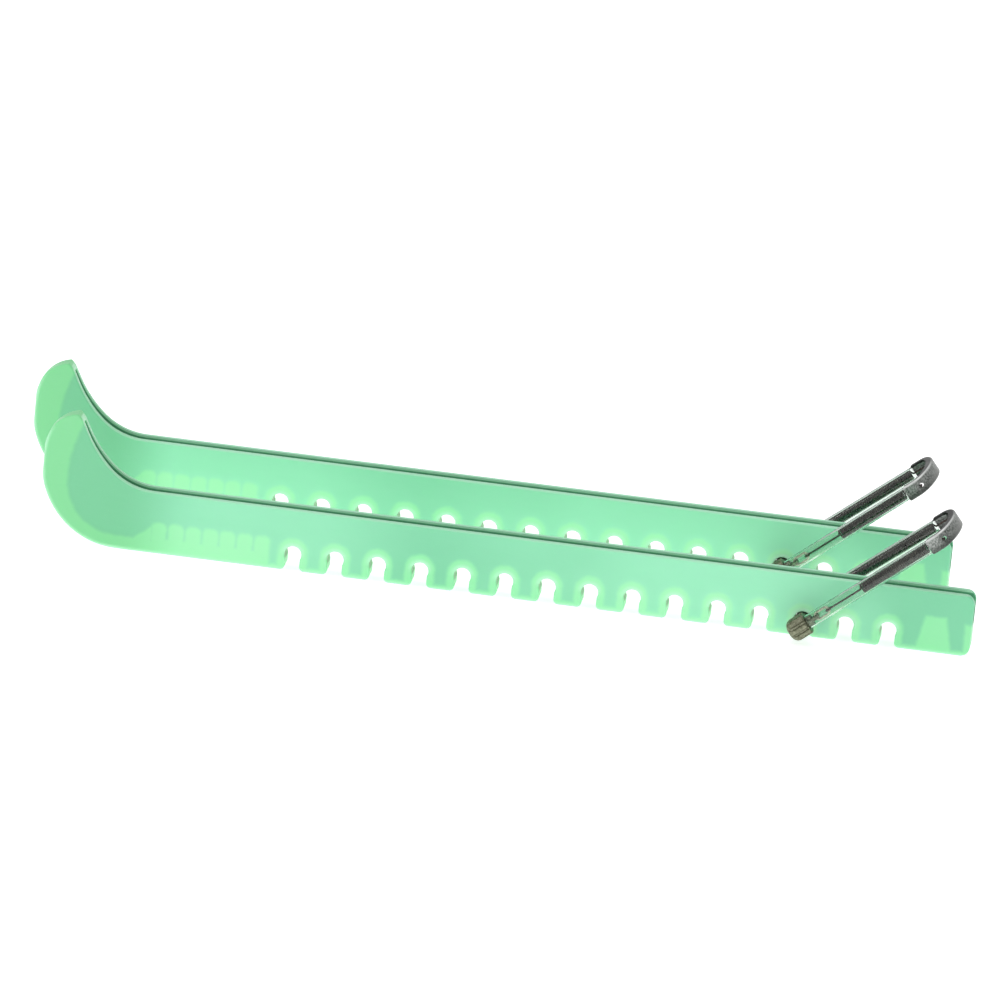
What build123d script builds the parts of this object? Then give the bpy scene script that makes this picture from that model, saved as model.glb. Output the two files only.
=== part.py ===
"""A pair of guards for ice skate blades, each with a sprung loop that hooks over the back of the blade.

Millimetres. +X runs from the toe to the heel, +Y from the left guard to the right one, +Z up.
The origin is at the bottom centre of the pair. Every piece is made once, on a guard whose own
middle is at X = 0 and Y = 0, and the last lines write it at the place of each of the two guards.
"""
from build123d import *
import os
from math import acos, cos, degrees, radians, sin

# The moulded guard
LENGTH = 330.0
WIDTH = 9.5
WALL = 2.2
WALL_HEIGHT = 22.0
BASE = 1.3
HEEL_CORNER = 3.3
RIM_ROUND = 0.6

# The upturned toe: its outer curve, its opening and its thick front
TOE_BASE_X = -136.9
TOE_RADIUS = 28.5
TOE_TURN = 110.0
TIP_RADIUS = 12.5
TIP_TURN = 62.0
TIP_ROUND = 0.7
OPENING_X = -124.5
OPENING_ARCS = [(24.0, 42.0), (42.0, 21.0)]
OPENING_END = 4.7
TAPER_X = -130.0
TAPER_RADIUS = 232.0
TAPER_TURN = 8.3
SIDE_SLOPE = 0.9
NOSE_X = -LENGTH / 2
TOE_FLOOR = 4.5
TOE_FLOOR_X = -137.5
TOE_CAVITY_RADIUS = 18.5
TOE_FRONT_RADIUS = 50.7
TOE_FRONT_TURN = 30.0

# The adjusting notches and the arches of floor over them
NOTCHES = 15
NOTCH_PITCH = 15.0
FIRST_NOTCH_X = -74.0
NOTCH_Z = 5.8
NOTCH_RADIUS = 3.0
THROAT = 5.2
LIP_RADIUS = 1.6
ARCH_RADIUS = 4.95
ARCH_TOP = 11.5
ARCH_FOOT_ROUND = 0.8

# The blade rests near the toe and at the heel, and the low wall across the heel
RESTS = 7
REST_PITCH = 6.1
FIRST_REST_X = -121.7
REST_LENGTH = 5.0
REST_TOP = 11.0
REST_ROUND = 1.5
RAMP_LENGTH = 6.5
HEEL_REST_X = 152.3
HEEL_REST_FOOT = 12.4
HEEL_REST_CROWN = 6.7
HEEL_REST_TOP = 12.6
HEEL_REST_ROUND = 1.2
HEEL_WALL = 2.0
HEEL_WALL_TOP = 11.0

# The cross rod, in the thirteenth notch
ROD_NOTCH = 12
ROD_DIAMETER = 5.0
ROD_Z = 6.0
ROD_HALF = 16.5
ROD_CHAMFER = 0.4
RUNNING_GAP = 0.05

# The loop: places along each leg are measured from the rod's axis
LOOP_ANGLE = 39.5
LEG_HALF_AT_ROD = 14.5
LEG_HALF_AT_CLIP = 13.3
CLIP_START = 54.3
BARREL_DIAMETER = 8.2
BARREL_START = -4.1
BARREL_END = 3.4
BARREL_ROUND = 2.6
FLUTES = 10
FLUTE_RADIUS = 0.6
BORE_DEPTH = 6.3
STUB_DIAMETER = 4.0
STUB_END = 5.4
TONGUE_END = 8.0
TONGUE_THICK = 1.2
TONGUE_WIDE = 3.0
EYE_AT = 6.9
EYE_DIAMETER = 1.5
LINK_WIRE = 0.9
LINK_START = 8.0
LINK_END = 10.9
LINK_RADIUS = 1.3
LINK_ROUND = 0.4
SLEEVE_OUTER = 5.0
SLEEVE_INNER = 4.2
SLEEVE_START = 3.7
SLEEVE_END = 54.0
SPRING_WIRE = 0.7
SPRING_RADIUS = 1.55
COIL_START = 26.3
COIL_PITCH = 0.9
COIL_TURNS = 30
ARM_RADIUS = 0.4
JOINT_BALL = 0.45
TAIL_HOOK_AT = 12.2
TAIL_HOOK_RADIUS = 1.05

# The heel clip
CLIP_BEND_AT = 58.0
CLIP_BEND_LONG = 6.8
CLIP_HALF_WIDTH = 15.8
CLIP_DEPTH = 2.6
CLIP_HEIGHT = 5.6
CLIP_SHEET = 0.8
CLIP_ROUND = 0.6
CLIP_HOLE_AT = 60.4
CLIP_HOLE_DIAMETER = 1.5
HOOK_PROUD = 0.3

# The places of the two guards, from the origin of the pair
PAIR_SPACING = 63.8
PAIR_STAGGER = 13.6
GUARD_PLACES = {
    "left": Location((PAIR_STAGGER / 2, -PAIR_SPACING / 2, 0)),
    "right": Location((-PAIR_STAGGER / 2, PAIR_SPACING / 2, 0)),
}

notch_xs = [FIRST_NOTCH_X + NOTCH_PITCH * i for i in range(NOTCHES)]
rest_xs = [FIRST_REST_X + REST_PITCH * i for i in range(RESTS)]
rod_x = notch_xs[ROD_NOTCH]
heel_x = LENGTH / 2
tall = 4 * WALL_HEIGHT

# The loop's plane: local X runs from the rod to the clip, local Y along +Y, and its normal is upward
swing = radians(LOOP_ANGLE)
along = Vector(cos(swing), 0, sin(swing))
loop_plane = Plane(origin=(rod_x, 0, ROD_Z), x_dir=along, z_dir=(-sin(swing), 0, cos(swing)))

# The near leg's plane, across the leg at the rod: local X is the loop's normal, local Y is outward
inward = Vector(0, LEG_HALF_AT_ROD - LEG_HALF_AT_CLIP, 0)
leg_plane = Plane(
    origin=(rod_x, -LEG_HALF_AT_ROD, ROD_Z),
    x_dir=loop_plane.z_dir,
    z_dir=(along * CLIP_START + inward).normalized(),
)


def plan_outline(half_width):
    """A channel seen from above: straight sides that draw in to a round nose."""
    back_x = heel_x + HEEL_WALL
    with BuildSketch(Plane.XY) as plan:
        with BuildLine():
            side = Line((back_x, half_width), (TAPER_X, half_width))
            taper = JernArc(side @ 1, side % 1, TAPER_RADIUS, TAPER_TURN)
            mirror(side, about=Plane.XZ)
            mirror(taper, about=Plane.XZ)
            nose_side = taper @ 1
            ThreePointArc(nose_side, (NOSE_X, 0), (nose_side.X, -nose_side.Y))
            Line((back_x, half_width), (back_x, -half_width))
        make_face()
    return plan.sketch


# One notch, open at the base: a round seat over a throat with rounded lips
lip_x = THROAT / 2 + LIP_RADIUS
lip_turn = degrees(acos(lip_x / (NOTCH_RADIUS + LIP_RADIUS)))
throat_top = NOTCH_Z - (NOTCH_RADIUS + LIP_RADIUS) * sin(radians(lip_turn))
with BuildSketch() as notch_view:
    with BuildLine():
        outside = Polyline((0, -BASE), (lip_x, -BASE), (lip_x, 0))
        mouth = JernArc(outside @ 1, (-1, 0), LIP_RADIUS, -90)
        throat = Line(mouth @ 1, (THROAT / 2, throat_top))
        lip = JernArc(throat @ 1, throat % 1, LIP_RADIUS, -lip_turn)
        JernArc(lip @ 1, lip % 1, NOTCH_RADIUS, 90 + lip_turn)
        mirror(about=Plane.YZ)
    make_face()

# The channel inside the guard: open at the top and above the low wall at the heel, closed at the toe
with BuildPart() as channel:
    with BuildSketch(Plane.XZ) as channel_view:
        with BuildLine():
            floor = Line((heel_x - HEEL_WALL, BASE), (FIRST_REST_X, BASE))
            step = Line(floor @ 1, (FIRST_REST_X, TOE_FLOOR))
            toe_floor = Line(step @ 1, (TOE_FLOOR_X, TOE_FLOOR))
            sole = JernArc(toe_floor @ 1, toe_floor % 1, TOE_CAVITY_RADIUS, -90)
            front = JernArc(sole @ 1, sole % 1, TOE_FRONT_RADIUS, -TOE_FRONT_TURN)
            Polyline(
                front @ 1,
                ((front @ 1).X, tall),
                (heel_x + HEEL_WALL, tall),
                (heel_x + HEEL_WALL, HEEL_WALL_TOP),
                (heel_x - HEEL_WALL, HEEL_WALL_TOP),
                floor @ 0,
            )
        make_face()
        with Locations([(x, ARCH_TOP - ARCH_RADIUS) for x in notch_xs]):
            Circle(ARCH_RADIUS, mode=Mode.SUBTRACT)
        with Locations([(x, (ARCH_TOP - ARCH_RADIUS) / 2) for x in notch_xs]):
            Rectangle(2 * ARCH_RADIUS, ARCH_TOP - ARCH_RADIUS, mode=Mode.SUBTRACT)
        feet = channel_view.vertices().filter_by_position(
            Axis.X, notch_xs[0] - ARCH_RADIUS, notch_xs[-1] + ARCH_RADIUS
        )
        fillet(feet.filter_by_position(Axis.Y, BASE / 2, 2 * BASE), ARCH_FOOT_ROUND)
    extrude(amount=WIDTH / 2 - WALL, both=True)
    extrude(plan_outline(WIDTH / 2 - WALL), amount=tall, mode=Mode.INTERSECT)

# The solid rests that the blade stands on, made as wide as the channel
with BuildPart() as rests:
    with BuildSketch(Plane.XZ) as rest_view:
        with Locations([(x, REST_TOP / 2) for x in rest_xs]):
            Rectangle(REST_LENGTH, REST_TOP)
        fillet(rest_view.vertices().group_by(Axis.Y)[-1], REST_ROUND)
        with BuildLine():
            Polyline(
                (rest_xs[0] - REST_LENGTH / 2 - RAMP_LENGTH, 0),
                (rest_xs[0] - REST_LENGTH / 2 - RAMP_LENGTH, TOE_FLOOR),
                (rest_xs[0] - REST_LENGTH / 2, REST_TOP - REST_ROUND),
                (rest_xs[0] - REST_LENGTH / 2, 0),
                close=True,
            )
        make_face()
    extrude(amount=WIDTH / 2 - WALL / 2, both=True)
    with BuildSketch(Plane.XZ) as heel_rest_view:
        with BuildLine():
            Polyline(
                (HEEL_REST_X - HEEL_REST_FOOT / 2, 0),
                (HEEL_REST_X - HEEL_REST_CROWN / 2, HEEL_REST_TOP),
                (HEEL_REST_X + HEEL_REST_CROWN / 2, HEEL_REST_TOP),
                (HEEL_REST_X + HEEL_REST_FOOT / 2, 0),
                close=True,
            )
        make_face()
        fillet(heel_rest_view.vertices().group_by(Axis.Y)[-1], HEEL_REST_ROUND)
    extrude(amount=WIDTH / 2 - WALL / 2, both=True)

# The guard: its outer shape and notches, less the channel, with the rests
with BuildPart() as guard:
    with BuildSketch(Plane.XZ) as side_view:
        with BuildLine():
            base = Line((heel_x, 0), (TOE_BASE_X, 0))
            toe = JernArc(base @ 1, base % 1, TOE_RADIUS, -TOE_TURN)
            tip = JernArc(toe @ 1, toe % 1, TIP_RADIUS, -TIP_TURN)
            rim = Line((heel_x, WALL_HEIGHT), (OPENING_X, WALL_HEIGHT))
            low = JernArc(rim @ 1, rim % 1, OPENING_ARCS[0][0], -OPENING_ARCS[0][1])
            high = JernArc(low @ 1, low % 1, OPENING_ARCS[1][0], -OPENING_ARCS[1][1])
            end = Line(high @ 1, high @ 1 + (high % 1) * OPENING_END)
            Line(end @ 1, tip @ 1)
            Line(base @ 0, rim @ 0)
        make_face()
        fillet(side_view.vertices().sort_by(Axis.Y)[-2:], TIP_ROUND)
        fillet(side_view.vertices().group_by(Axis.X)[-1], HEEL_CORNER)
        with Locations([(x, 0) for x in notch_xs]):
            add(notch_view.sketch, mode=Mode.SUBTRACT)
    extrude(amount=WIDTH / 2, both=True)
    extrude(plan_outline(WIDTH / 2), amount=tall, mode=Mode.INTERSECT)
    sides = guard.faces().filter_by(lambda face: abs(face.normal_at().Y) > SIDE_SLOPE)
    straight_edges = [edge for edge in sides.edges() if edge.center().X > TAPER_X + RIM_ROUND]
    fillet(straight_edges, RIM_ROUND)
    add(channel.part, mode=Mode.SUBTRACT)
    add(rests.part)

# The steel rod across the guard, a running fit in the two barrels
with BuildPart() as cross_rod:
    with BuildSketch(Plane.XZ.offset(-ROD_HALF)):
        with Locations((rod_x, ROD_Z)):
            Circle(ROD_DIAMETER / 2)
    extrude(amount=2 * ROD_HALF)
    chamfer(cross_rod.edges().filter_by(GeomType.CIRCLE), ROD_CHAMFER)

# The fluted barrel on the near end of the rod, with the stub for the sleeve and the eye for the link
with BuildPart() as near_ferrule:
    with BuildSketch(leg_plane.offset(BARREL_START)):
        Circle(BARREL_DIAMETER / 2)
    extrude(amount=BARREL_END - BARREL_START)
    leg_axis = Axis(leg_plane.origin, leg_plane.z_dir)
    barrel_rims = near_ferrule.edges().filter_by(GeomType.CIRCLE).sort_by(leg_axis)
    fillet(barrel_rims[0], BARREL_ROUND)
    fillet(barrel_rims[-1], FLUTE_RADIUS)
    with BuildSketch(leg_plane.offset(BARREL_START)):
        with PolarLocations(BARREL_DIAMETER / 2, FLUTES):
            Circle(FLUTE_RADIUS)
    extrude(amount=BARREL_END - BARREL_START, mode=Mode.SUBTRACT)
    with BuildSketch(leg_plane.offset(BARREL_END - FLUTE_RADIUS)):
        Circle(STUB_DIAMETER / 2)
    extrude(amount=STUB_END - BARREL_END + FLUTE_RADIUS)
    with BuildSketch(leg_plane.offset(BARREL_END)):
        Rectangle(TONGUE_THICK, TONGUE_WIDE)
    extrude(amount=TONGUE_END - BARREL_END)
    with BuildSketch(Plane(leg_plane.origin, x_dir=leg_plane.z_dir, z_dir=leg_plane.x_dir)):
        with Locations((EYE_AT, 0)):
            Circle(EYE_DIAMETER / 2)
    extrude(amount=TONGUE_THICK, both=True, mode=Mode.SUBTRACT)
    with BuildSketch(Plane.XZ.offset(-ROD_HALF - RUNNING_GAP)):
        with Locations((rod_x, ROD_Z)):
            Circle(ROD_DIAMETER / 2 + RUNNING_GAP)
    extrude(amount=2 * ROD_HALF + 2 * RUNNING_GAP, mode=Mode.SUBTRACT)

# The wire ring between the barrel's eye and the spring's tail
with BuildPart() as near_link:
    with BuildSketch(Plane(leg_plane.origin, x_dir=leg_plane.z_dir, z_dir=leg_plane.y_dir)):
        with Locations(((LINK_START + LINK_END) / 2, 0)):
            SlotCenterToCenter(LINK_END - LINK_START, 2 * LINK_RADIUS + LINK_WIRE)
            SlotCenterToCenter(LINK_END - LINK_START, 2 * LINK_RADIUS - LINK_WIRE, mode=Mode.SUBTRACT)
    extrude(amount=LINK_WIRE / 2, both=True)
    fillet(near_link.edges(), LINK_ROUND)

# The clear tube over the spring
with BuildPart() as near_sleeve:
    with BuildSketch(leg_plane.offset(SLEEVE_START)):
        Circle(SLEEVE_OUTER / 2)
        Circle(SLEEVE_INNER / 2, mode=Mode.SUBTRACT)
    extrude(amount=SLEEVE_END - SLEEVE_START)

# The extension spring: a long tail with a closed hook, the coils, and the hook through the clip
coil_end = COIL_START + COIL_PITCH * COIL_TURNS
coil = leg_plane.offset(COIL_START).location * Helix(COIL_PITCH, COIL_PITCH * COIL_TURNS, SPRING_RADIUS)
with BuildPart() as near_spring:
    with BuildSketch(Plane(coil @ 0, z_dir=coil % 0)):
        Circle(SPRING_WIRE / 2)
    sweep(path=coil, is_frenet=True)
    for start, stop in ((TAIL_HOOK_AT + TAIL_HOOK_RADIUS, COIL_START), (coil_end, CLIP_HOLE_AT)):
        with BuildSketch(leg_plane.offset(start)):
            Circle(SPRING_WIRE / 2)
        extrude(amount=stop - start)
    for level in (COIL_START, coil_end):
        with BuildSketch(Plane(leg_plane.offset(level).origin, z_dir=leg_plane.x_dir)):
            Circle(ARM_RADIUS)
        extrude(amount=SPRING_RADIUS + SPRING_WIRE / 2)
        with Locations(leg_plane.offset(level)):
            Sphere(JOINT_BALL)
    with Locations(Plane(leg_plane.offset(TAIL_HOOK_AT).origin, z_dir=leg_plane.x_dir)):
        Torus(TAIL_HOOK_RADIUS, SPRING_WIRE / 2)
    with Locations(leg_plane.offset(CLIP_HOLE_AT)):
        Sphere(JOINT_BALL)
    hook_plane = Plane(leg_plane.offset(CLIP_HOLE_AT).origin, x_dir=along, z_dir=(0, -1, 0))
    with BuildSketch(hook_plane):
        Circle(SPRING_WIRE / 2)
    extrude(amount=CLIP_HALF_WIDTH + HOOK_PROUD + hook_plane.origin.Y)

# The steel channel bent to a U, open inward, that hooks over the back of the blade
with BuildPart() as heel_clip:
    with BuildSketch(loop_plane):
        with Locations((CLIP_BEND_AT, 0)):
            Ellipse(CLIP_BEND_LONG, CLIP_HALF_WIDTH)
            Rectangle(
                2 * CLIP_BEND_LONG, 2 * CLIP_HALF_WIDTH, align=(Align.MAX, Align.CENTER), mode=Mode.SUBTRACT
            )
            Rectangle(CLIP_BEND_AT - CLIP_START, 2 * CLIP_HALF_WIDTH, align=(Align.MAX, Align.CENTER))
    extrude(amount=CLIP_HEIGHT / 2, both=True)
    flats = heel_clip.faces().filter_by(lambda face: abs(face.normal_at().dot(loop_plane.z_dir)) > SIDE_SLOPE)
    fillet(flats.edges(), CLIP_ROUND)
    for sheet, height in ((CLIP_DEPTH, CLIP_HEIGHT), (CLIP_SHEET, CLIP_HEIGHT - 2 * CLIP_SHEET)):
        with BuildSketch(loop_plane):
            with Locations((CLIP_BEND_AT, 0)):
                Ellipse(CLIP_BEND_LONG - sheet, CLIP_HALF_WIDTH - sheet)
                Rectangle(
                    2 * CLIP_BEND_LONG, 2 * (CLIP_HALF_WIDTH - sheet), align=(Align.MAX, Align.CENTER)
                )
        extrude(amount=height / 2, both=True, mode=Mode.SUBTRACT)
    with BuildSketch(Plane(loop_plane.origin, x_dir=along, z_dir=(0, -1, 0))):
        with Locations((CLIP_HOLE_AT, 0)):
            Circle(CLIP_HOLE_DIAMETER / 2)
    extrude(amount=2 * CLIP_HALF_WIDTH, both=True, mode=Mode.SUBTRACT)

near_pieces = {
    "ferrule": near_ferrule,
    "link": near_link,
    "spring": near_spring,
    "sleeve": near_sleeve,
}
pieces = {"guard": guard.part, "cross_rod": cross_rod.part, "heel_clip": heel_clip.part}
for name, near in near_pieces.items():
    pieces[f"near_{name}"] = near.part
    pieces[f"far_{name}"] = mirror(near.part, about=Plane.XZ)

os.makedirs("parts", exist_ok=True)
for side, place in GUARD_PLACES.items():
    for name, piece in pieces.items():
        placed = place * piece
        placed.label = f"{side}_{name}"
        export_step(placed, f"parts/{placed.label}.step")
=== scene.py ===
"""The looks of a pair of blade guards for ice skates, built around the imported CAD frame.

Metres, in the frame's own axes: +X from toe to heel, +Y from the left guard to the right, +Z up.
Materials work in millimetres on the object's own coordinates, so they move with their bodies.
"""
import math

import bpy
from mathutils import Matrix, Vector


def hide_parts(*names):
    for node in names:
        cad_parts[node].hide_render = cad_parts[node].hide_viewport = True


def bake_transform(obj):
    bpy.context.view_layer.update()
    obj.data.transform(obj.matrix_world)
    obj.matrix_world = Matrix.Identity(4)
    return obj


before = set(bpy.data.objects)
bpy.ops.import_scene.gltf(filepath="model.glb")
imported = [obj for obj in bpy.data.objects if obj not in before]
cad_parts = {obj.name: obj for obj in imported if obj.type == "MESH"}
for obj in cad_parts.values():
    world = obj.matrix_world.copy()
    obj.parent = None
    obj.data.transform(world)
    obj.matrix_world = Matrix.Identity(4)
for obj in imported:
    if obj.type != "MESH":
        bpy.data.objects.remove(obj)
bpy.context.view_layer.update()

MM = 0.001

# Where the CAD model has its parts, in millimetres on one guard's own axes
GUARD_OFFSETS = {"left": (6.8, -31.9), "right": (-6.8, 31.9)}
LENGTH = 330.0
NOTCH_PITCH = 15.0
NOTCH_MIDDLE_X = 31.0
NOTCH_REACH = 105.0
NOTCH_Z = 5.8
ARCH_RADIUS = 4.95
ARCH_CENTRE_Z = 6.55
BASE = 1.3
WALL_HEIGHT = 22.0
TOE_RADIUS = 28.5
TOE_CENTRE_X = -136.9
OPENING_X = -124.5
OPENING_SPAN = 30.0
OPENING = [
    (0.0, 0.0), (0.18, 0.0205), (0.36, 0.0856), (0.535, 0.2055),
    (0.709, 0.393), (0.846, 0.610), (0.917, 0.75), (1.0, 0.92),
]
CHANNEL_HALF = 2.55
TOE_FLOOR = 4.5
TOE_SOLID_TO_X = -121.7
TOE_CAVITY_X = -137.5
TOE_CAVITY_Z = 23.0
TOE_CAVITY_RADIUS = 18.5
TOE_FRONT_X = -105.3
TOE_FRONT_RADIUS = 50.7
RAMP_FROM_X = -130.7
RAMP_TO_X = -124.2
RAMP_SLOPE = 0.77
REST_PITCH = 6.1
REST_MIDDLE_X = -103.4
REST_REACH = 18.3
REST_HALF = 2.5
REST_TOP = 11.0
REST_ROUND = 1.9
REST_FOOT = 5.5
HEEL_REST_X = 152.3
HEEL_REST_HALF = 6.2
HEEL_REST_TAPER = 0.226
HEEL_REST_TOP = 12.6
HEEL_WALL_X = 163.0
HEEL_WALL_TOP = 11.0
ROD_X = 106.0
ROD_Z = 6.0
LOOP_ANGLE = math.radians(39.5)
LEG_HALF_AT_ROD = 14.5
LEG_HALF_AT_CLIP = 13.3
CLIP_START = 54.3
CLIP_HALF_WIDTH = 15.8
CLIP_BEND_AT = 58.0
CLIP_BEND_LONG = 6.8
CLIP_HOLE_AT = 60.4
COIL_STARTS = {"near": 26.3, "far": 17.0}
COIL_END = 53.3
COIL_PITCH = 0.74
COIL_RADIUS = 1.55
SPRING_WIRE = 0.7
TAIL_HOOK_AT = 12.2
TAIL_HOOK_RADIUS = 1.05
TAIL_HOOK_TURN = 1.75 * math.pi
TAIL_START = 14.6


# ---------------------------------------------------------------- camera and light
CAMERA_TURN = math.radians(5.5)
CAMERA_FALL = math.radians(16.0)
CAMERA_ROLL = math.radians(5.7)
CAMERA_DISTANCE = 4.0
FIELD_WIDTH = 0.3492
AIM_POINT = Vector((0.0068, -0.03665, 0.0))
AIM_RISE = 0.03408


def make_camera():
    forward = Vector((
        -math.sin(CAMERA_TURN) * math.cos(CAMERA_FALL),
        math.cos(CAMERA_TURN) * math.cos(CAMERA_FALL),
        -math.sin(CAMERA_FALL),
    ))
    level = Vector((math.cos(CAMERA_TURN), math.sin(CAMERA_TURN), 0.0))
    upright = level.cross(forward)
    right = level * math.cos(CAMERA_ROLL) + upright * math.sin(CAMERA_ROLL)
    up = upright * math.cos(CAMERA_ROLL) - level * math.sin(CAMERA_ROLL)
    data = bpy.data.cameras.new("camera")
    data.sensor_width = 36.0
    data.lens = data.sensor_width * CAMERA_DISTANCE / FIELD_WIDTH
    data.clip_start = 0.1
    data.clip_end = 50.0
    camera = bpy.data.objects.new("camera", data)
    bpy.context.scene.collection.objects.link(camera)
    place = Matrix((right, up, -forward)).transposed().to_4x4()
    place.translation = AIM_POINT + up * AIM_RISE - forward * CAMERA_DISTANCE
    camera.matrix_world = place
    bpy.context.scene.camera = camera


def area_light(name, location, target, size, power):
    data = bpy.data.lights.new(name, "AREA")
    data.shape = "RECTANGLE"
    data.size, data.size_y = size
    data.energy = power
    light = bpy.data.objects.new(name, data)
    bpy.context.scene.collection.objects.link(light)
    light.location = location
    aim = Vector(target) - Vector(location)
    light.rotation_euler = aim.to_track_quat("-Z", "Y").to_euler()


# ---------------------------------------------------------------- node helpers
class Graph:
    """Builds one material's nodes from short expressions. Arguments are sockets or plain values."""

    def __init__(self, name):
        self.material = bpy.data.materials.new(name)
        self.material.use_nodes = True
        self.tree = self.material.node_tree
        self.tree.nodes.clear()
        self.output = self.tree.nodes.new("ShaderNodeOutputMaterial")
        self.shader = self.tree.nodes.new("ShaderNodeBsdfPrincipled")
        self.tree.links.new(self.shader.outputs[0], self.output.inputs["Surface"])
        coordinates = self.tree.nodes.new("ShaderNodeTexCoord")
        scaled = self.tree.nodes.new("ShaderNodeVectorMath")
        scaled.operation = "SCALE"
        scaled.inputs["Scale"].default_value = 1.0 / MM
        self.tree.links.new(coordinates.outputs["Object"], scaled.inputs[0])
        self.place = scaled.outputs[0]

    def put(self, socket, value):
        if isinstance(value, bpy.types.NodeSocket):
            self.tree.links.new(value, socket)
        else:
            socket.default_value = value

    def math(self, operation, *values, clamp=False):
        node = self.tree.nodes.new("ShaderNodeMath")
        node.operation = operation
        node.use_clamp = clamp
        for socket, value in zip(node.inputs, values):
            self.put(socket, value)
        return node.outputs[0]

    def add(self, a, b):
        return self.math("ADD", a, b)

    def sub(self, a, b):
        return self.math("SUBTRACT", a, b)

    def mul(self, a, b):
        return self.math("MULTIPLY", a, b)

    def low(self, *values):
        result = values[0]
        for value in values[1:]:
            result = self.math("MINIMUM", result, value)
        return result

    def high(self, *values):
        result = values[0]
        for value in values[1:]:
            result = self.math("MAXIMUM", result, value)
        return result

    def length(self, a, b):
        return self.math("SQRT", self.add(self.mul(a, a), self.mul(b, b)))

    def axes(self, offset=(0.0, 0.0)):
        node = self.tree.nodes.new("ShaderNodeSeparateXYZ")
        self.put(node.inputs[0], self.place)
        return self.sub(node.outputs[0], offset[0]), self.sub(node.outputs[1], offset[1]), node.outputs[2]

    def along(self, direction):
        """How far the point lies along a direction, in millimetres."""
        node = self.tree.nodes.new("ShaderNodeVectorMath")
        node.operation = "DOT_PRODUCT"
        self.put(node.inputs[0], self.place)
        node.inputs[1].default_value = direction
        return node.outputs["Value"]

    def smooth(self, value, start, end):
        node = self.tree.nodes.new("ShaderNodeMapRange")
        node.interpolation_type = "SMOOTHSTEP"
        self.put(node.inputs["Value"], value)
        node.inputs["From Min"].default_value = start
        node.inputs["From Max"].default_value = end
        return node.outputs["Result"]

    def spread(self, value, low, high):
        """Maps 0 to 1 onto low to high."""
        return self.add(self.mul(value, high - low), low)

    def noise(self, scale, detail=3.0, roughness=0.5, stretch=None):
        node = self.tree.nodes.new("ShaderNodeTexNoise")
        node.inputs["Scale"].default_value = scale
        node.inputs["Detail"].default_value = detail
        node.inputs["Roughness"].default_value = roughness
        vector = self.place
        if stretch:
            mapping = self.tree.nodes.new("ShaderNodeMapping")
            mapping.inputs["Scale"].default_value = stretch
            self.put(mapping.inputs["Vector"], vector)
            vector = mapping.outputs[0]
        self.put(node.inputs["Vector"], vector)
        return node.outputs["Fac"]

    def mix(self, factor, a, b, blend="MIX"):
        node = self.tree.nodes.new("ShaderNodeMix")
        node.data_type = "RGBA"
        node.blend_type = blend
        self.put(node.inputs["Factor"], factor)
        for name, value in (("A", a), ("B", b)):
            socket = next(s for s in node.inputs if s.name == name and s.type == "RGBA")
            self.put(socket, value if isinstance(value, bpy.types.NodeSocket) else (*value, 1.0))
        return next(s for s in node.outputs if s.type == "RGBA")

    def ramp(self, value, stops):
        node = self.tree.nodes.new("ShaderNodeValToRGB")
        node.color_ramp.interpolation = "EASE"
        elements = node.color_ramp.elements
        while len(elements) < len(stops):
            elements.new(0.5)
        for element, (position, level) in zip(elements, stops):
            element.position = position
            element.color = (level, level, level, 1.0)
        self.put(node.inputs[0], value)
        return node.outputs["Color"]

    def curve(self, value, points):
        node = self.tree.nodes.new("ShaderNodeFloatCurve")
        line = node.mapping.curves[0]
        line.points[0].location = points[0]
        line.points[-1].location = points[-1]
        for point in points[1:-1]:
            line.points.new(*point)
        node.mapping.update()
        self.put(node.inputs["Value"], value)
        return node.outputs[0]

    def bump(self, height, strength, distance):
        node = self.tree.nodes.new("ShaderNodeBump")
        node.inputs["Strength"].default_value = strength
        node.inputs["Distance"].default_value = distance
        self.put(node.inputs["Height"], height)
        self.put(self.shader.inputs["Normal"], node.outputs[0])

    def set(self, **values):
        for name, value in values.items():
            self.put(self.shader.inputs[name.replace("_", " ")], value)


def srgb(red, green, blue):
    """A colour given as 0 to 255 on a display, in linear light."""
    levels = (channel / 255.0 for channel in (red, green, blue))
    return tuple(c / 12.92 if c <= 0.04045 else ((c + 0.055) / 1.055) ** 2.4 for c in levels)


# ---------------------------------------------------------------- materials
THIN_BRIGHT = srgb(166, 243, 202)
THIN_DIM = srgb(136, 217, 174)
THICK_BRIGHT = srgb(176, 250, 196)
THICK_DIM = srgb(156, 240, 180)
TOE_THIN = srgb(126, 206, 158)
TOE_THICK = srgb(140, 223, 161)
# Pale mint for painted highlights along the edges, the toe outline and the rims, and for the paler halo
# round each notch seat
PALE_HIGHLIGHT_AND_HALO = srgb(200, 253, 218)
# Painted shade: darker green for the faces inside the channel
CHANNEL_SHADE_GREEN = srgb(78, 158, 112)
# Painted shade: darker green for the walls inside the notches
NOTCH_SHADE_GREEN = srgb(112, 182, 116)
# Painted brightness of each guard; the far one is set paler because the lamps leave it too dim
GUARD_TONES = {"left": -0.08, "right": 0.3}
# Painted brightness from toe to heel, as fractions of the length and of the way from dim to bright
BRIGHTNESS_ALONG = [
    (0.0, 0.25), (0.10, 0.35), (0.19, 0.80), (0.29, 0.70), (0.42, 0.12), (0.55, 0.45),
    (0.67, 0.90), (0.77, 1.0), (0.87, 0.8), (0.93, 0.1), (1.0, 0.0),
]


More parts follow.
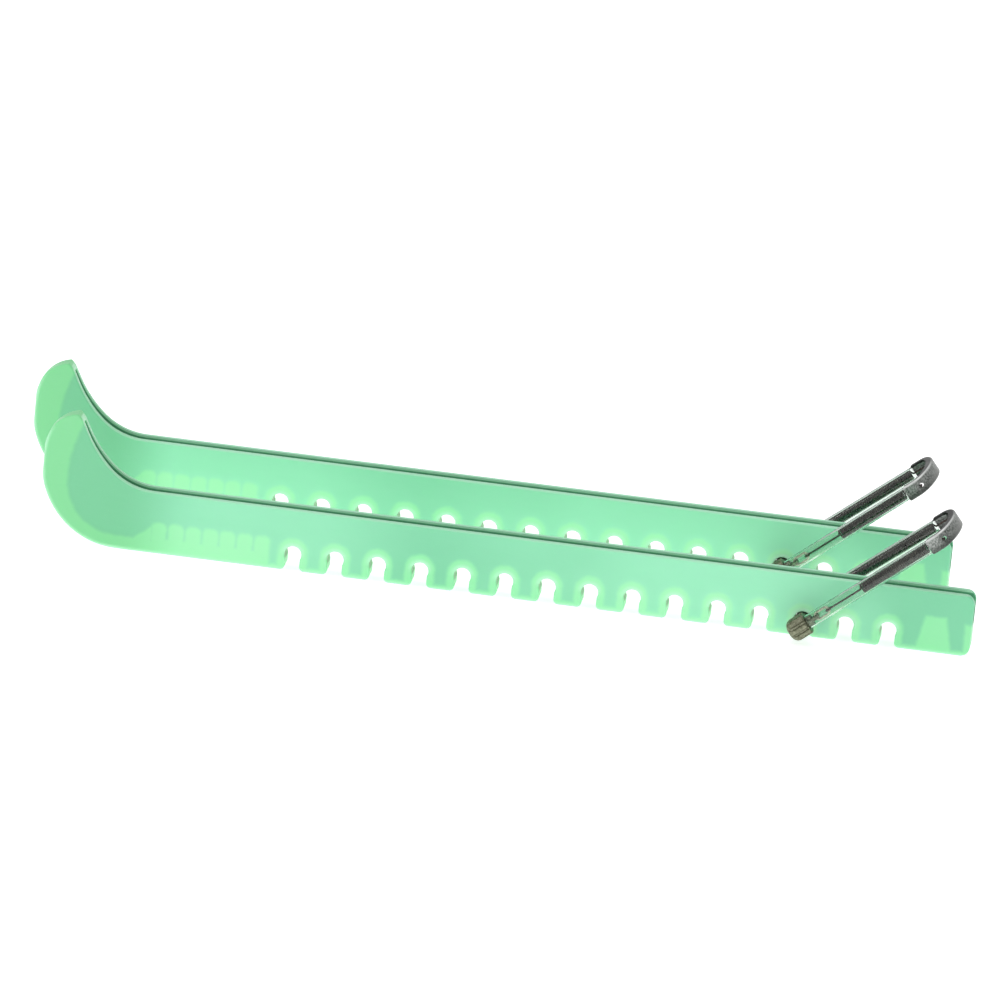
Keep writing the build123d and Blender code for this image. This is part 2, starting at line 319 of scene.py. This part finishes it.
def guard_plastic(side, tone):
    """Tinted clear plastic: brighter and yellower where it is solid, dimmer where two walls stand apart."""
    g = Graph(f"guard_plastic_{side}")
    x, y, z = g.axes(GUARD_OFFSETS[side])

    # How deep the point lies in the solid floor, seen through the wall: above 0 inside it
    to_notch = g.high(
        g.math("PINGPONG", g.sub(x, NOTCH_MIDDLE_X), NOTCH_PITCH / 2),
        g.sub(g.math("ABSOLUTE", g.sub(x, NOTCH_MIDDLE_X)), NOTCH_REACH),
    )
    arch = g.sub(ARCH_RADIUS, g.length(to_notch, g.high(g.sub(z, ARCH_CENTRE_Z), 0.0)))
    from_rests = g.math("ABSOLUTE", g.sub(x, REST_MIDDLE_X))
    to_rest = g.high(
        g.math("PINGPONG", g.sub(x, REST_MIDDLE_X), REST_PITCH / 2),
        g.sub(from_rests, REST_REACH),
    )
    corner = g.length(
        g.high(g.sub(to_rest, REST_HALF - REST_ROUND), 0.0),
        g.high(g.sub(z, REST_TOP - REST_ROUND), 0.0),
    )
    rest = g.high(
        g.low(g.sub(REST_ROUND, corner), 1.0),
        g.low(g.sub(REST_FOOT, z), g.sub(REST_REACH + REST_HALF, from_rests)),
    )
    ramp = g.low(
        g.sub(RAMP_TO_X, x),
        g.sub(g.add(g.mul(g.sub(x, RAMP_FROM_X), RAMP_SLOPE), TOE_FLOOR), z),
        g.sub(x, RAMP_FROM_X),
    )
    heel_half = g.sub(HEEL_REST_HALF, g.mul(z, HEEL_REST_TAPER))
    heel_rest = g.low(
        g.sub(heel_half, g.math("ABSOLUTE", g.sub(x, HEEL_REST_X))),
        g.sub(HEEL_REST_TOP, z),
    )
    heel_wall = g.low(g.sub(x, HEEL_WALL_X), g.sub(HEEL_WALL_TOP, z))
    sole = g.sub(
        g.length(g.high(g.sub(TOE_CAVITY_X, x), 0.0), g.sub(TOE_CAVITY_Z, z)),
        TOE_CAVITY_RADIUS,
    )
    front = g.sub(g.length(g.sub(TOE_FRONT_X, x), g.sub(z, TOE_CAVITY_Z)), TOE_FRONT_RADIUS)
    above = g.math("GREATER_THAN", z, TOE_CAVITY_Z)
    toe = g.add(g.mul(above, front), g.mul(g.sub(1.0, above), sole))
    toe = g.low(toe, g.sub(TOE_SOLID_TO_X, x))
    wobble = g.mul(g.sub(g.noise(0.35, 2.0), 0.5), 0.9)
    depth = g.add(g.high(arch, rest, ramp, heel_rest, heel_wall, toe, g.sub(BASE, z)), wobble)
    solid = g.smooth(depth, -1.3, 0.6)

    # Slow changes of brightness along the length
    position = g.math("DIVIDE", g.add(x, LENGTH / 2), LENGTH, clamp=True)
    lengthwise = g.ramp(position, BRIGHTNESS_ALONG)
    cloud = g.noise(0.05, 3.0, 0.55, stretch=(0.5, 1.0, 1.6))
    clouded = g.add(g.add(lengthwise, tone), g.mul(g.sub(cloud, 0.5), 0.35))
    thin = g.mix(clouded, THIN_DIM, THIN_BRIGHT)
    at_toe = g.smooth(x, -112.0, -138.0)
    thin = g.mix(at_toe, thin, TOE_THIN)
    thick = g.mix(at_toe, g.mix(clouded, THICK_DIM, THICK_BRIGHT), TOE_THICK)
    colour = g.mix(solid, thin, thick)
    colour = g.mix(g.mul(g.smooth(g.add(depth, 3.0), 3.2, 0.0), 0.14), colour, THIN_DIM)

    # Painted highlights: a bright lip along the lower edges, a pale outline on the toe and lines along the
    # rims; painted shade: darker green on the faces inside the channel and notches
    low_edge_highlight = g.smooth(z, 1.6, 0.2)
    colour = g.mix(g.mul(low_edge_highlight, 0.6), colour, PALE_HIGHLIGHT_AND_HALO)
    # Painted highlight: a thin pale outline round the curved toe
    toe_edge = g.sub(TOE_RADIUS, g.length(g.low(g.sub(x, TOE_CENTRE_X), 0.0), g.sub(z, TOE_RADIUS)))
    toe_outline_highlight = g.mul(g.smooth(toe_edge, 1.5, 0.3), g.smooth(z, 44.0, 36.0))
    colour = g.mix(g.mul(g.mul(toe_outline_highlight, g.smooth(x, -130.0, -140.0)), 0.5), colour, PALE_HIGHLIGHT_AND_HALO)
    past_opening = g.math("DIVIDE", g.sub(OPENING_X, x), OPENING_SPAN, clamp=True)
    rim_height = g.add(g.mul(g.curve(past_opening, OPENING), OPENING_SPAN), WALL_HEIGHT)
    under_rim = g.sub(rim_height, z)
    seat = g.length(to_notch, g.sub(z, NOTCH_Z))
    halo = g.mul(g.smooth(seat, 5.0, 3.2), g.smooth(z, 4.5, 9.0))
    colour = g.mix(g.mul(halo, 0.75), colour, PALE_HIGHLIGHT_AND_HALO)
    across = g.math("ABSOLUTE", y)
    # Painted highlight along the top of the rims
    rim = g.mul(g.smooth(under_rim, 0.55, 0.15), g.smooth(across, CHANNEL_HALF, CHANNEL_HALF + 0.2))
    colour = g.mix(g.mul(rim, 0.45), colour, PALE_HIGHLIGHT_AND_HALO)
    between_walls = g.smooth(across, CHANNEL_HALF + 0.12, CHANNEL_HALF)
    # Painted shade: darker green on the faces between the walls, inside the channel
    channel_shade = g.mul(between_walls, g.smooth(under_rim, 0.6, 1.1))
    channel_shade = g.mul(channel_shade, g.smooth(depth, 1.2, 0.7))
    colour = g.mix(g.mul(channel_shade, 0.75), colour, CHANNEL_SHADE_GREEN)
    # Painted highlight: a thin pale line just under the rim, between the walls
    lip = g.mul(between_walls, g.smooth(under_rim, 0.95, 0.55))
    colour = g.mix(g.mul(lip, 0.7), colour, PALE_HIGHLIGHT_AND_HALO)
    # Painted shade on the walls inside the notches
    notch_shade = g.mul(g.smooth(across, 4.2, 3.4), g.smooth(seat, 3.4, 3.1))
    colour = g.mix(g.mul(notch_shade, 0.8), colour, NOTCH_SHADE_GREEN)

    speckle = g.noise(2.6, 4.0, 0.6)
    colour = g.mix(g.mul(g.smooth(speckle, 0.55, 0.8), 0.16), colour, THIN_BRIGHT)
    g.set(Base_Color=colour)
    g.set(Roughness=g.spread(g.noise(0.6, 3.0), 0.26, 0.44))
    g.set(Subsurface_Weight=0.25, Subsurface_Scale=0.002, Subsurface_Radius=(0.6, 1.0, 0.7))
    g.set(IOR=1.46, Specular_IOR_Level=0.3)
    fine = g.noise(3.2, 4.0, 0.6)
    ripple = g.noise(0.22, 2.0, 0.5, stretch=(0.6, 1.0, 1.5))
    g.bump(g.add(g.mul(fine, 0.25), ripple), 0.18, 0.0006)
    return g.material


def steel(name, dark, light, roughness, grain, stretch=None):
    """Metal with a mottled tone, fine scratches and uneven polish."""
    g = Graph(name)
    tone = g.noise(grain, 5.0, 0.65, stretch)
    worn = g.noise(grain * 0.25, 3.0, 0.5)
    colour = g.mix(g.smooth(tone, 0.32, 0.68), dark, light)
    colour = g.mix(g.mul(g.smooth(worn, 0.5, 0.75), 0.3), colour, light)
    g.set(Base_Color=colour, Metallic=1.0)
    g.set(Roughness=g.spread(worn, *roughness))
    g.bump(g.noise(grain * 1.6, 4.0, 0.6, stretch), 0.12, 0.0002)
    return g


def clip_steel(side):
    """Stamped sheet: speckled and dull outside, with painted highlights along its upper edge and near the
    end of the bend, and painted shade inside the bend and towards its lower side.
    """
    g = steel(f"clip_steel_{side}", srgb(84, 90, 86), srgb(176, 180, 176), (0.3, 0.5), 1.6)
    rod_x = ROD_X + GUARD_OFFSETS[side][0]
    sine, cosine = math.sin(LOOP_ANGLE), math.cos(LOOP_ANGLE)
    height = g.sub(g.along((-sine, 0.0, cosine)), -sine * rod_x + cosine * ROD_Z)
    base = g.shader.inputs["Base Color"].links[0].from_socket
    # Painted shade: darker towards the lower side of the clip
    lower = g.mul(g.smooth(height, 0.6, -2.2), 0.7)
    colour = g.mix(lower, base, srgb(62, 66, 62))
    reach = g.sub(g.along((cosine, 0.0, sine)), cosine * rod_x + sine * ROD_Z)
    across = g.axes(GUARD_OFFSETS[side])[1]
    bend = g.length(
        g.math("DIVIDE", g.high(g.sub(reach, CLIP_BEND_AT), 0.0), CLIP_BEND_LONG),
        g.math("DIVIDE", across, CLIP_HALF_WIDTH),
    )
    # Painted highlight along the upper edge of the near arm
    edge = g.mul(g.smooth(height, 1.9, 2.6), g.smooth(bend, 0.90, 0.95))
    edge = g.mul(edge, g.smooth(across, 6.0, -6.0))
    colour = g.mix(g.mul(edge, 0.85), colour, srgb(240, 242, 240))
    # Painted shade inside the bend of the clip
    inside = g.smooth(bend, 0.955, 0.90)
    colour = g.mix(g.mul(inside, 0.92), colour, srgb(38, 38, 38))
    # Painted highlight: paler near the end of the bend, below its middle
    tip_highlight = g.mul(g.smooth(reach, 61.0, 65.0), g.smooth(height, 0.5, -1.5))
    colour = g.mix(g.mul(tip_highlight, 0.35), colour, srgb(200, 202, 198))
    g.set(Base_Color=colour)
    return g.material


def clear_vinyl():
    """The clear tube: faintly green, with the soft streaks of drawn plastic."""
    g = Graph("clear_vinyl")
    streak = g.noise(0.8, 3.0, 0.5, stretch=(0.25, 1.0, 0.25))
    g.set(Base_Color=g.mix(streak, srgb(214, 232, 220), srgb(240, 248, 243)))
    g.set(Roughness=g.spread(g.noise(1.5, 2.0), 0.04, 0.12))
    g.set(Transmission_Weight=1.0, IOR=1.38, Coat_Weight=0.3, Coat_Roughness=0.08)
    g.bump(streak, 0.1, 0.0002)
    return g.material


guard_materials = {side: guard_plastic(side, tone) for side, tone in GUARD_TONES.items()}
clip_materials = {side: clip_steel(side) for side in GUARD_OFFSETS}
vinyl = clear_vinyl()
rod_steel = steel(
    "rod_steel", srgb(96, 98, 92), srgb(186, 190, 184), (0.22, 0.4), 1.6, stretch=(1.0, 0.15, 1.0),
).material
barrel_metal = steel("barrel_metal", srgb(92, 94, 74), srgb(150, 152, 130), (0.3, 0.5), 1.2).material
link_wire = steel("link_wire", srgb(186, 180, 160), srgb(226, 222, 206), (0.2, 0.4), 2.0).material
spring_wire = steel("spring_wire", srgb(44, 38, 36), srgb(96, 84, 80), (0.3, 0.45), 0.9).material


def paint(piece, material):
    piece.data.materials.clear()
    piece.data.materials.append(material)


def even_normals(piece):
    """Keeps the long flat faces of a CAD part flat in shading, with its rounded edges smooth."""
    modifier = piece.modifiers.new("even_normals", "WEIGHTED_NORMAL")
    modifier.mode = "FACE_AREA"
    modifier.weight = 100
    modifier.keep_sharp = True


for side in GUARD_OFFSETS:
    paint(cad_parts[f"{side}_guard"], guard_materials[side])
    even_normals(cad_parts[f"{side}_guard"])
    paint(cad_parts[f"{side}_heel_clip"], clip_materials[side])
    paint(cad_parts[f"{side}_cross_rod"], rod_steel)
    for leg in ("near", "far"):
        paint(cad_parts[f"{side}_{leg}_ferrule"], barrel_metal)
        paint(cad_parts[f"{side}_{leg}_link"], link_wire)
        paint(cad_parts[f"{side}_{leg}_sleeve"], vinyl)


# ---------------------------------------------------------------- springs
TURN_STEPS = 20
HOOK_STEPS = 18
WIRE_SIDES = 10


def wire(name, points, radius):
    """A round wire through the points, with closed ends, as a mesh."""
    ring_count = len(points)
    vertices, faces = [], []
    tangents = [
        (points[min(i + 1, ring_count - 1)] - points[max(i - 1, 0)]).normalized() for i in range(ring_count)
    ]
    side = tangents[0].orthogonal().normalized()
    for point, tangent in zip(points, tangents):
        side = (side - tangent * side.dot(tangent)).normalized()
        other = tangent.cross(side)
        for step in range(WIRE_SIDES):
            angle = 2 * math.pi * step / WIRE_SIDES
            vertices.append(point + (side * math.cos(angle) + other * math.sin(angle)) * radius)
    for i in range(ring_count - 1):
        for step in range(WIRE_SIDES):
            a, b = i * WIRE_SIDES + step, i * WIRE_SIDES + (step + 1) % WIRE_SIDES
            faces.append((a, b, b + WIRE_SIDES, a + WIRE_SIDES))
    faces.append(tuple(reversed(range(WIRE_SIDES))))
    faces.append(tuple(range((ring_count - 1) * WIRE_SIDES, ring_count * WIRE_SIDES)))
    mesh = bpy.data.meshes.new(name)
    mesh.from_pydata([v * MM for v in vertices], [], faces)
    mesh.update()
    for polygon in mesh.polygons:
        polygon.use_smooth = True
    piece = bpy.data.objects.new(name, mesh)
    bpy.context.scene.collection.objects.link(piece)
    return piece


def spring_points(offset, hand, coil_start):
    """The spring's centre line: tail hook, tail, coils, wire to the clip and the hook through its hole."""
    rod = Vector((ROD_X + offset[0], offset[1] + hand * LEG_HALF_AT_ROD, ROD_Z))
    along = Vector((math.cos(LOOP_ANGLE), 0.0, math.sin(LOOP_ANGLE)))
    leg = (along * CLIP_START - Vector((0.0, hand * (LEG_HALF_AT_ROD - LEG_HALF_AT_CLIP), 0.0))).normalized()
    up = Vector((-math.sin(LOOP_ANGLE), 0.0, math.cos(LOOP_ANGLE)))
    out = leg.cross(up) * (1 if leg.cross(up).y * hand > 0 else -1)

    def at(s, rise=0.0, outward=0.0):
        return rod + leg * s + up * rise + out * outward

    points = []
    for i in range(HOOK_STEPS + 1):
        angle = -TAIL_HOOK_TURN + TAIL_HOOK_TURN * i / HOOK_STEPS
        points.append(at(
            TAIL_HOOK_AT + TAIL_HOOK_RADIUS * math.cos(angle),
            outward=TAIL_HOOK_RADIUS * math.sin(angle),
        ))
    points.append(at(TAIL_START))
    points.append(at(coil_start - 0.9))
    points.append(at(coil_start - 0.3, COIL_RADIUS * 0.5))
    steps = round((COIL_END - coil_start) / COIL_PITCH) * TURN_STEPS
    for i in range(steps + 1):
        angle = 2 * math.pi * i / TURN_STEPS
        points.append(at(
            coil_start + (COIL_END - coil_start) * i / steps,
            COIL_RADIUS * math.cos(angle),
            COIL_RADIUS * math.sin(angle),
        ))
    points.append(at(COIL_END + 0.3, COIL_RADIUS * 0.5))
    points.append(at(COIL_END + 0.9))
    points.append(at(COIL_END + 3.0))
    reach = CLIP_HALF_WIDTH - abs(at(CLIP_HOLE_AT).y - offset[1]) + 0.2
    points.append(at(CLIP_HOLE_AT - 1.4))
    points.append(at(CLIP_HOLE_AT - 0.9, outward=0.07))
    points.append(at(CLIP_HOLE_AT - 0.35, outward=0.35))
    points.append(at(CLIP_HOLE_AT - 0.06, outward=0.9))
    points.append(at(CLIP_HOLE_AT, outward=1.4))
    points.append(at(CLIP_HOLE_AT, outward=reach))
    return points, at(coil_start), at(COIL_END)


for side, offset in GUARD_OFFSETS.items():
    for leg_name, hand in (("near", -1), ("far", 1)):
        points, first, last = spring_points(offset, hand, COIL_STARTS[leg_name])
        spring = wire(f"{side}_{leg_name}_spring_coil", points, SPRING_WIRE / 2)
        spring.data.materials.append(spring_wire)
        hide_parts(f"{side}_{leg_name}_spring")
        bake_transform(spring)


# ---------------------------------------------------------------- stage
FLOOR_CORNERS = [(-6, -6, 0), (6, -6, 0), (6, 10, 0), (-6, 10, 0)]
FLOOR_DROP = 0.0001
FLOOR_GLOW = 0.6
WORLD_STRENGTH = 0.60

floor_mesh = bpy.data.meshes.new("floor")
floor_mesh.from_pydata(FLOOR_CORNERS, [], [(0, 1, 2, 3)])
floor = bpy.data.objects.new("floor", floor_mesh)
bpy.context.scene.collection.objects.link(floor)
floor.location.z = -FLOOR_DROP
paper = Graph("floor_paper")
paper.set(Base_Color=paper.mix(paper.noise(0.02, 2.0), srgb(246, 246, 246), srgb(250, 250, 250)))
paper.set(Roughness=0.6, Emission_Color=(1.0, 1.0, 1.0, 1.0), Emission_Strength=FLOOR_GLOW)
floor.data.materials.append(paper.material)

world = bpy.data.worlds.new("studio")
world.use_nodes = True
world.node_tree.nodes["Background"].inputs["Color"].default_value = (1.0, 1.0, 1.0, 1.0)
world.node_tree.nodes["Background"].inputs["Strength"].default_value = WORLD_STRENGTH
bpy.context.scene.world = world
bpy.context.scene.view_settings.view_transform = "Standard"
area_light("overhead", (0.1, 0.2, 1.6), (0.0, 0.0, 0.0), (1.8, 1.2), 5.0)
area_light("front", (0.3, -1.8, 1.0), (0.0, 0.0, 0.02), (1.6, 0.9), 2.0)
area_light("toe_side", (-1.7, -0.5, 0.8), (-0.1, 0.0, 0.02), (1.0, 0.8), 4.5)
make_camera()
